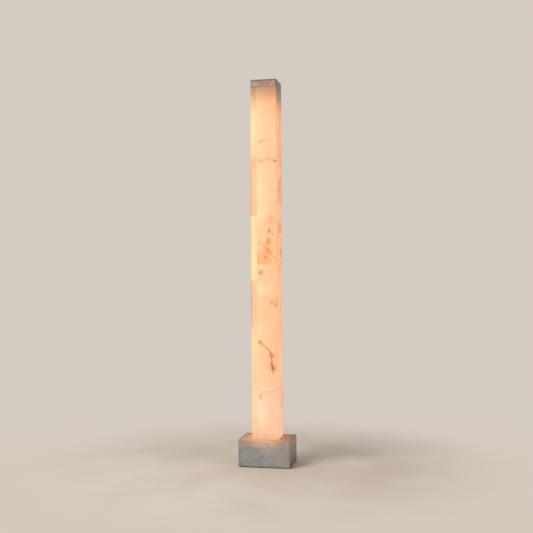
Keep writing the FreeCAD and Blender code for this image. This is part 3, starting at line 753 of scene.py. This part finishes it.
def paintLightShadeAndStreaks(look, at, found, facts, shade, colour):
    x, y, z, low, high = [at[key] for key in ("x", "y", "z", "low", "high")]
    paintedFrontLight, corner, top, stripes = [baseLightShadeAndStreaks[key] for key in ("paintedFrontLight", "low", "top", "stripes")]
    # painted light from the column: the middle of the front paler
    middle = look.fit(abs(x - paintedFrontLight["centre"]), paintedFrontLight["reach"], 0.0) * look.fit(z, *paintedFrontLight["height"])
    colour = look.blend(middle * look.fit(y, 0.0, low.y) * paintedFrontLight["share"], colour, stoneTints["paintedFrontLight"])
    # painted shade: the right side darker towards the floor
    lowRight = look.fit(x, high.x * corner["across"], high.x) * look.fit(z, *corner["height"])
    colour = look.blend(lowRight * corner["share"], colour, stoneTints["darkening"])

    # painted warm light from the column: a browner band under the top edge, paler in its middle
    line = high.z - baseLightShadeAndStreaks["glowBand"]
    fine, coarse = baseLightShadeAndStreaks["bandWaves"]
    wavy = z + (found["patches"] - 0.5) * fine + (found["clouds"] - 0.5) * look.fit(y, low.y, 0.0) * coarse
    glowBand = look.fit(wavy, line - baseLightShadeAndStreaks["bandSoft"][0], line + baseLightShadeAndStreaks["bandSoft"][1])
    tint = look.blend(look.fit(abs(x), *baseLightShadeAndStreaks["middle"]), stoneTints["glowBand"], stoneTints["glowBandMiddle"])
    colour = look.blend(glowBand * baseLightShadeAndStreaks["bandShare"], colour, look.blend(shade * 0.5, tint, facts["light"]))
    # painted warm light and shade on the top face
    topGlow = look.blend(look.fit(x, *top["across"]), stoneTints["topGlowLeft"], stoneTints["topGlowRight"])
    topGlow = look.blend(shade * 0.15, topGlow, stoneTints["glowBandMiddle"])
    onTop = look.fit(z, high.z - top["height"][0], high.z - top["height"][1])
    colour = look.blend(onTop * top["share"], colour, topGlow)

    streaks = look.noise(look.place(0.0, (1.0, 1.0, stripes["upright"])), *stripes["noise"])
    streaks = look.fit(streaks, 0.56, 0.70) * look.fit(found["clouds"], 0.44, 0.58)
    streaks = streaks * look.fit(z, *stripes["height"])
    return look.blend(streaks * stripes["share"], colour, stoneTints["streak"])


def darkerEdges(look, at, found, facts, colour):
    y, low = at["y"], at["low"]
    gaps = [gap + (found["patches"] - 0.5) * 0.005 for gap in at["gaps"]]
    aside, ahead, above, below = [look.fit(gap, facts["ease"], 0.0) for gap in gaps]
    around = look.highest(aside, ahead)
    upper = look.highest(aside, ahead * look.fit(y, low.y, low.y * 0.8)) if facts["isBase"] else around
    edges = [above * upper, aside * ahead, below * around]
    edge = look.highest(*[edge * darkening for edge, darkening in zip(edges, facts["darkening"])])
    return look.blend(edge * look.fit(found["streaks"], 0.30, 0.62), colour, stoneTints["darkening"])


def darkRim(look, at, found, facts, colour):                  # a thin line along the top face's edges
    toSide, toFace, toTop = at["gaps"][:3]
    if facts["isBase"]:                      # on the base, only along the back and the sides
        toBack = toFace + look.fit(at["y"], 0.0, at["low"].y)
        rim = look.fit(toTop, 0.003, 0.001)
        rim = rim * look.highest(look.fit(toBack, 0.036, 0.010), look.fit(toSide, 0.014, 0.0))
    else:
        rim = look.fit(toTop, 0.0070, 0.0010)
        rim = rim * look.highest(*[look.fit(gap, 0.0060, 0.0010) for gap in (toSide, toFace)])
    uneven = look.fit(found["rim"], 0.36, 0.60) * 0.50 + 0.42
    return look.blend(rim * uneven, colour, stoneTints["rim"])


def footLight(look, at, found, colour):
    foot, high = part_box("front_slab_lower")[0], at["high"]
    beside = [look.highest(abs(at[axis]) - abs(foot.y), 0.0) for axis in ("x", "y")]
    away = (beside[0] ** 2.0 + beside[1] ** 2.0) ** 0.5
    inFront = look.fit(at["y"], *[foot.y + gap for gap in footGlow["frontFrom"]])
    onTop = look.fit(at["z"], *[high.z - gap for gap in footGlow["flush"]])
    onFront = look.fit(at["z"], high.z - footGlow["depth"], high.z)
    lit = look.fit(away, footGlow["reach"], 0.0) ** 1.5 * (onTop + (onFront - onTop) * inFront)
    tinted = look.blend(inFront, footGlow["colour"], footGlow["front"])
    tinted = look.blend(1.0, tinted, colour, "MULTIPLY")
    return look.blend(lit * (0.7 + found["patches"] * 0.6), (0.0, 0.0, 0.0, 1.0), tinted)


def greyFinish(name, facts):
    look = Finish(name)
    low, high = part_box(name)
    shift = (facts["shift"], 0.0, 0.0)
    found = look.patterns(greyPatterns, 0.0, shift)
    x, y, z = look.axes(look.place())
    gaps = [high.x - abs(x), high.y - abs(y), high.z - z, z - low.z]
    at = {"x": x, "y": y, "z": z, "low": low, "high": high, "gaps": gaps}
    shade = found["clouds"] * 0.45 + found["patches"] * 0.35 + found["streaks"] * 0.20
    shade = look.fit(shade, *facts["contrast"])
    colour = greyTones(look, at, found, facts, shade)
    # on the base: painted light and shade, and streaks
    if facts["isBase"]:
        colour = paintLightShadeAndStreaks(look, at, found, facts, shade, colour)
    colour = darkerEdges(look, at, found, facts, colour)
    colour = darkRim(look, at, found, facts, colour)
    cells = look.add("ShaderNodeTexVoronoi", {}, {"Vector": look.place(shift=shift), "Scale": 260.0})
    specks = look.fit(cells, 0.16, 0.08) * look.fit(found["specks"], 0.5, 0.6)
    colour = look.blend(specks * 0.35, colour, stoneTints["speck"])
    relief = found["patches"] * 0.4 + found["grain"] * 0.25 + specks * 0.15
    sockets = {
        "Base Color": colour,
        "Roughness": 0.40 + (found["patches"] - 0.5) * 0.35,
        "Specular IOR Level": 0.5,
        "Normal": look.bump(relief, 0.0008, 0.6),
    }
    if facts["isBase"]:
        sockets["Emission Color"] = footLight(look, at, found, colour)
        sockets["Emission Strength"] = 1.0
    return look.finish(sockets)


for stoneName, stoneFacts in greyStone.items():
    dress(stoneName, greyFinish(stoneName, stoneFacts))
print("grey stone done")


# Metals, plastics and rubber

plainLooks = {
    "plateSteel": {"nodes": ["base_plate", "column_shoe"], "colour": (0.030, 0.030, 0.032, 1), "metal": 0.0,
                   "rough": 0.55, "scale": 900.0, "depth": 0.0002},
    "zincSteel": {"nodes": ["base_plate_screws", "driver_screws", "terminal_screws", "shoe_bolts",
                            "shoe_washers", "mast_foot_screws", "baffle_screws", "spigot_screws"],
                  "colour": (0.60, 0.61, 0.62, 1), "metal": 1.0, "rough": 0.30, "scale": 400.0,
                  "depth": 0.00005},
    "blackRubber": {"nodes": ["foot_front_left", "foot_front_right", "foot_back_left", "foot_back_right"],
                    "colour": (0.020, 0.020, 0.020, 1), "metal": 0.0, "rough": 0.8, "scale": 600.0,
                    "depth": 0.0001},
    "blackPlastic": {"nodes": ["cable_gland", "gland_nut"], "colour": (0.025, 0.025, 0.027, 1), "metal": 0.0,
                     "rough": 0.5, "scale": 1200.0, "depth": 0.0001},
    "whitePlastic": {"nodes": ["led_driver", "terminal_block"], "colour": (0.74, 0.74, 0.71, 1), "metal": 0.0,
                     "rough": 0.35, "scale": 700.0, "depth": 0.00008},
    "leadSheath": {"nodes": ["input_lead", "output_lead"], "colour": (0.66, 0.65, 0.61, 1), "metal": 0.0,
                   "rough": 0.45, "scale": 500.0, "depth": 0.00005},
    "brass": {"nodes": ["earth_terminal"], "colour": (0.72, 0.52, 0.22, 1), "metal": 1.0, "rough": 0.28,
              "scale": 300.0, "depth": 0.00003},
    "mastAluminium": {"nodes": ["light_mast", "mast_foot", "cap_spigot", "top_baffle"],
                      "colour": (0.70, 0.71, 0.72, 1), "metal": 1.0, "rough": 0.34, "scale": 500.0,
                      "depth": 0.00004},
    "gasketFoam": {"nodes": ["cap_gasket"], "colour": (0.04, 0.04, 0.04, 1), "metal": 0.0, "rough": 0.9,
                   "scale": 800.0, "depth": 0.0003},
    "ledBoard": {"nodes": ["junction_board"], "colour": (0.80, 0.79, 0.74, 1), "metal": 0.0, "rough": 0.4,
                 "scale": 300.0, "depth": 0.00003},
}


def plainFinish(name, facts):
    look = Finish(name)
    where = look.place()
    fine = look.noise(where, facts["scale"], 3.0, 0.6)
    broad = look.noise(where, 30.0, 3.0)
    darker = tuple(c * 0.78 for c in facts["colour"][:3]) + (1.0,)
    colour = look.blend(look.fit(broad * 0.6 + fine * 0.4, 0.35, 0.65), darker, facts["colour"])
    return look.finish({
        "Base Color": colour,
        "Metallic": facts["metal"],
        "Roughness": facts["rough"] + (broad - 0.5) * 0.15,
        "Normal": look.bump(fine, facts["depth"], 0.5),
    })


for lookName, lookFacts in plainLooks.items():
    material = plainFinish(lookName, lookFacts)
    for nodeName in lookFacts["nodes"]:
        dress(nodeName, material)
print("metals, plastics and rubber done")


# Light strips: a white board with the phosphor line down its middle, which is lit

strip = {
    "nodes": ["led_strip_front", "led_strip_right", "led_strip_back", "led_strip_left"],
    "board": (0.80, 0.79, 0.74, 1.0),
    "phosphor": (0.85, 0.62, 0.22, 1.0),
    "glow": (1.0, 0.72, 0.40, 1.0),
    "lineFrom": 12.65 * mm,                  # the board ends and the line starts this far from the axis
    "soft": 0.05 * mm,
}


def stripFinish():
    look = Finish("lightStrip")
    where = look.place()
    x, y = look.axes(where)[:2]
    out = look.highest(abs(x), abs(y))
    line = look.fit(out, strip["lineFrom"] - strip["soft"], strip["lineFrom"] + strip["soft"])
    fine = look.noise(where, 900.0, 2.0)
    return look.finish({
        "Base Color": look.blend(line, strip["board"], strip["phosphor"]),
        "Roughness": 0.42 + (fine - 0.5) * 0.2,
        "Emission Color": look.blend(line, (0.0, 0.0, 0.0, 1.0), strip["glow"]),
        "Emission Strength": 1.0,
        "Normal": look.bump(fine, 0.00004, 0.4),
    })


stripMaterial = stripFinish()
for nodeName in strip["nodes"]:
    dress(nodeName, stripMaterial)
print("light strips done")
